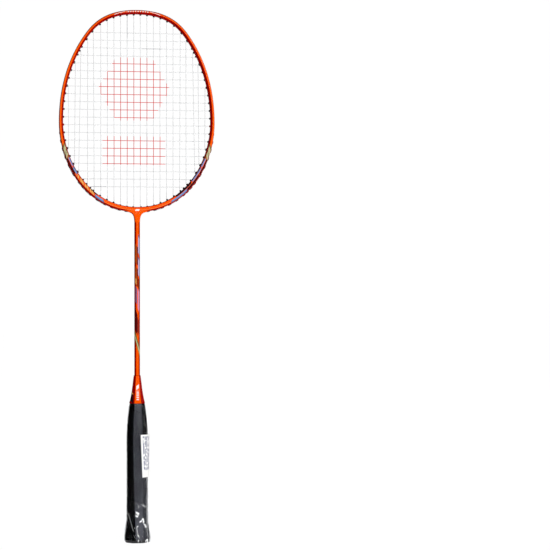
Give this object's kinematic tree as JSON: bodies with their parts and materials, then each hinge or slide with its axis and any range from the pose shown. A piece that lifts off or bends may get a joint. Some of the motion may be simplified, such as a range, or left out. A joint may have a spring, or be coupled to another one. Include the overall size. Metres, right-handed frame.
{
  "type": "badminton racket",
  "caption": "Strung badminton racket with an egg-shaped head, a slim shaft, a cone cap and an octagonal wrapped handle.",
  "frame": {"origin": "centre of the butt's flat end face", "axes": "+Z along the shaft from the butt to the crown of the head, +X to the right across the head as seen from the front, -Y out of the front of the string bed"},
  "size_m": [0.1977, 0.0294, 0.675],
  "materials": {
    "head_paint": "clear-coated orange paint over carbon composite",
    "shaft_paint": "clear-coated orange paint over carbon composite",
    "cone_paint": "gloss orange over moulded plastic",
    "carbon_core": "bare carbon and resin",
    "grommet_plastic": "satin black moulded plastic",
    "string_nylon": "white coated nylon",
    "handle_wood": "bare sanded wood",
    "butt_cap_plastic": "fine-grained black",
    "grip_polyurethane": "matte black synthetic leather, spirally wound",
    "clear_film": "clear glossy shrink film",
    "label_paper": "blank white paper"
  },
  "bodies": {
    "root": {"butt_cap": "butt_cap_plastic", "cone_cap": "cone_paint", "cross_string": "string_nylon", "film_sleeve": "clear_film", "grip_wrap": "grip_polyurethane", "grommet_pair_01": "grommet_plastic", "grommet_pair_02": "grommet_plastic", "grommet_pair_03": "grommet_plastic", "grommet_pair_04": "grommet_plastic", "grommet_pair_05": "grommet_plastic", "grommet_pair_06": "grommet_plastic", "grommet_pair_07": "grommet_plastic", "grommet_pair_08": "grommet_plastic", "grommet_pair_09": "grommet_plastic", "grommet_pair_10": "grommet_plastic", "grommet_pair_11": "grommet_plastic", "grommet_pair_12": "grommet_plastic", "grommet_pair_13": "grommet_plastic", "grommet_pair_14": "grommet_plastic", "grommet_pair_15": "grommet_plastic", "grommet_pair_16": "grommet_plastic", "grommet_pair_17": "grommet_plastic", "grommet_pair_18": "grommet_plastic", "grommet_pair_19": "grommet_plastic", "grommet_pair_20": "grommet_plastic", "grommet_pair_21": "grommet_plastic", "grommet_pair_22": "grommet_plastic", "grommet_pair_23": "grommet_plastic", "grommet_pair_24": "grommet_plastic", "grommet_pair_25": "grommet_plastic", "grommet_pair_26": "grommet_plastic", "grommet_pair_27": "grommet_plastic", "grommet_pair_28": "grommet_plastic", "grommet_pair_29": "grommet_plastic", "grommet_pair_30": "grommet_plastic", "grommet_pair_31": "grommet_plastic", "grommet_pair_32": "grommet_plastic", "grommet_pair_33": "grommet_plastic", "grommet_pair_34": "grommet_plastic", "grommet_pair_35": "grommet_plastic", "grommet_pair_36": "grommet_plastic", "handle_core": "handle_wood", "head_frame": "head_paint", "main_string": "string_nylon", "paper_label": "label_paper", "shaft": "shaft_paint", "throat_core": "carbon_core"}
  },
  "joints": []
}
